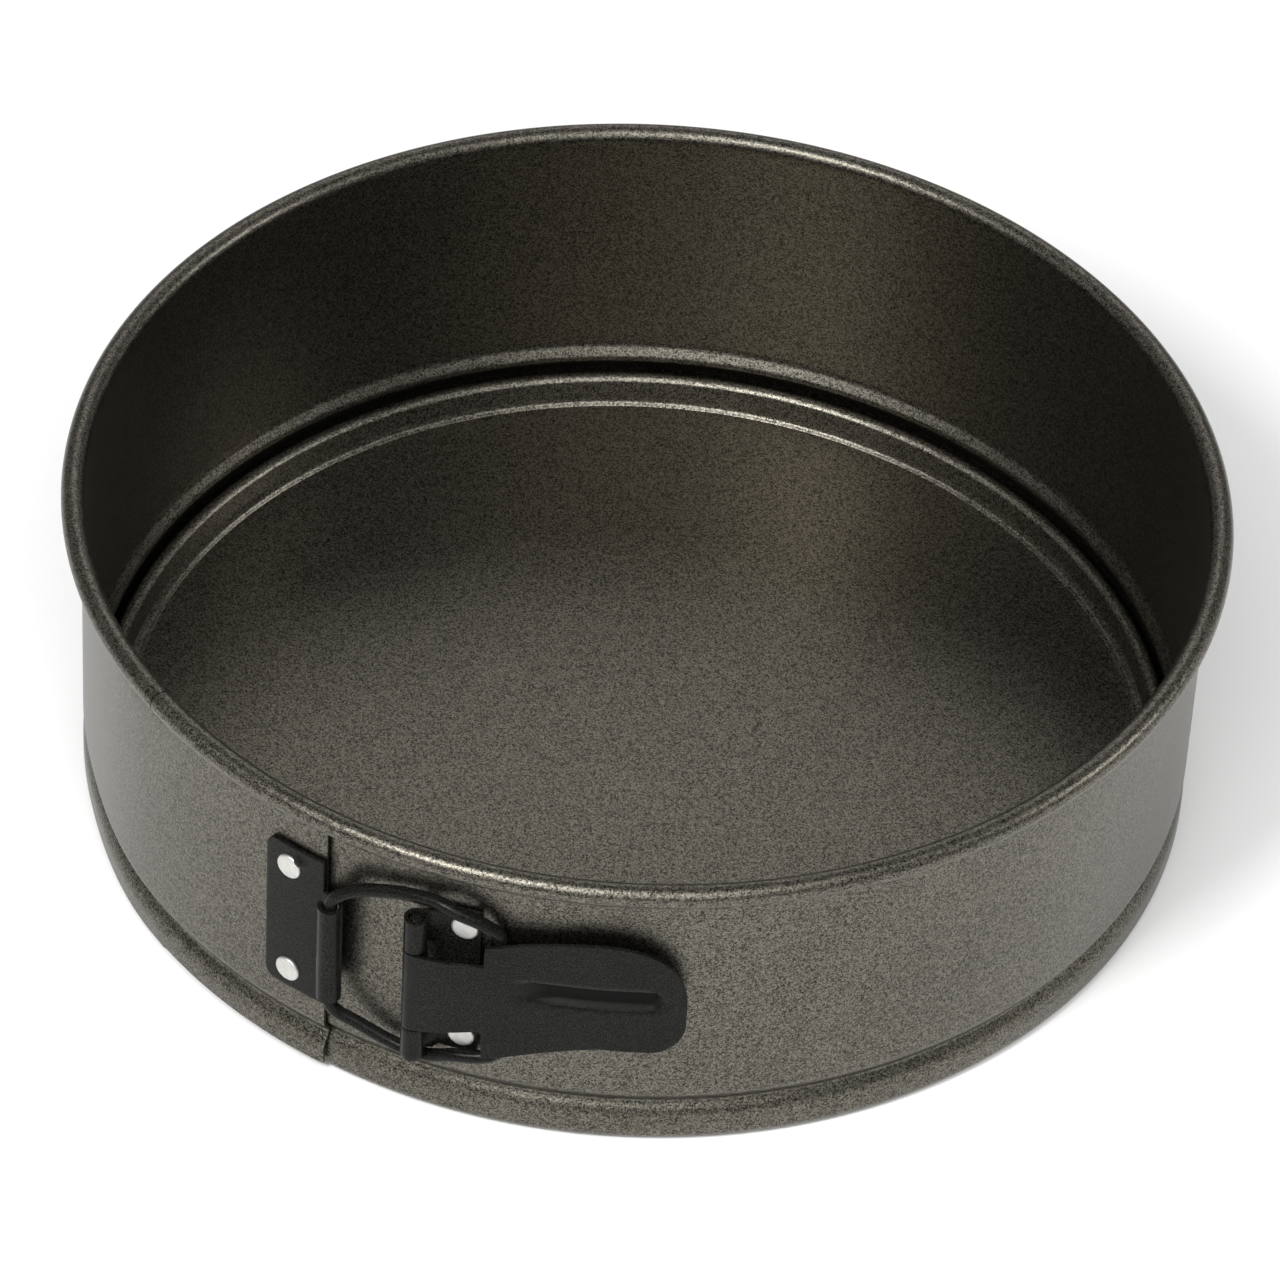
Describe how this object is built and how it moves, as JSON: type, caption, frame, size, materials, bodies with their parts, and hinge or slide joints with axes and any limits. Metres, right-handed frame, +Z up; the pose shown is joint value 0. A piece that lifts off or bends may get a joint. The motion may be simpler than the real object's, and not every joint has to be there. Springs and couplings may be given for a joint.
{
  "type": "springform pan",
  "caption": "Round springform cake pan: rolled-rim side band closed by a toggle lever and wire bail round a drop-in base plate.",
  "frame": {"origin": "on the ring's axis, in the plane of the table that the closed pan stands on", "axes": "+Z up along the ring's axis; -Y points out through the latch's hinge pin; +X is the side that the closed lever points to"},
  "size_m": [0.2392, 0.2423, 0.0724],
  "materials": {
    "nonstick_band": "fine-grained metallic grey-brown non-stick coating, satin",
    "nonstick_base": "fine-grained metallic grey-brown non-stick coating, satin",
    "latch_enamel": "black enamel, semi-gloss",
    "rivet_aluminium": "bare aluminium, dull"
  },
  "bodies": {
    "band_right": {"side_band_right": "nonstick_band", "lever_bracket": "latch_enamel", "bracket_rivet_upper": "rivet_aluminium", "bracket_rivet_lower": "rivet_aluminium", "hinge_pin": "latch_enamel"},
    "band_left": {"side_band_left": "nonstick_band", "hook_plate": "latch_enamel", "hook_rivet_upper": "rivet_aluminium", "hook_rivet_lower": "rivet_aluminium"},
    "lever": {"lever": "latch_enamel"},
    "bail": {"bail_wire": "latch_enamel"},
    "base": {"base_plate": "nonstick_base"}
  },
  "joints": [
    {"name": "lever_swing", "type": "hinge", "parent": "band_right", "child": "lever", "pos_m": [0, -0.1202, 0.0382], "axis": [0, 0, -1], "range_deg": [0, 165]},
    {"name": "band_spring", "type": "hinge", "parent": "band_right", "child": "band_left", "pos_m": [0, 0.12, 0.035], "axis": [0, 0, -1], "range_deg": [0, 6.91]},
    {"name": "bail_swing", "type": "hinge", "parent": "lever", "child": "bail", "pos_m": [0.01635, -0.11636, 0.0382], "axis": [0, 0, 1], "range_deg": [0, 138.77]},
    {"name": "base_lift", "type": "slide", "parent": "band_right", "child": "base", "axis": [0, 0, 1], "range_m": [0, 0.085]}
  ],
  "couplings": [
    {"joint": "band_spring", "follows": "lever_swing", "ratio": 0.041869},
    {"joint": "bail_swing", "follows": "lever_swing", "ratio": 0.84101}
  ]
}
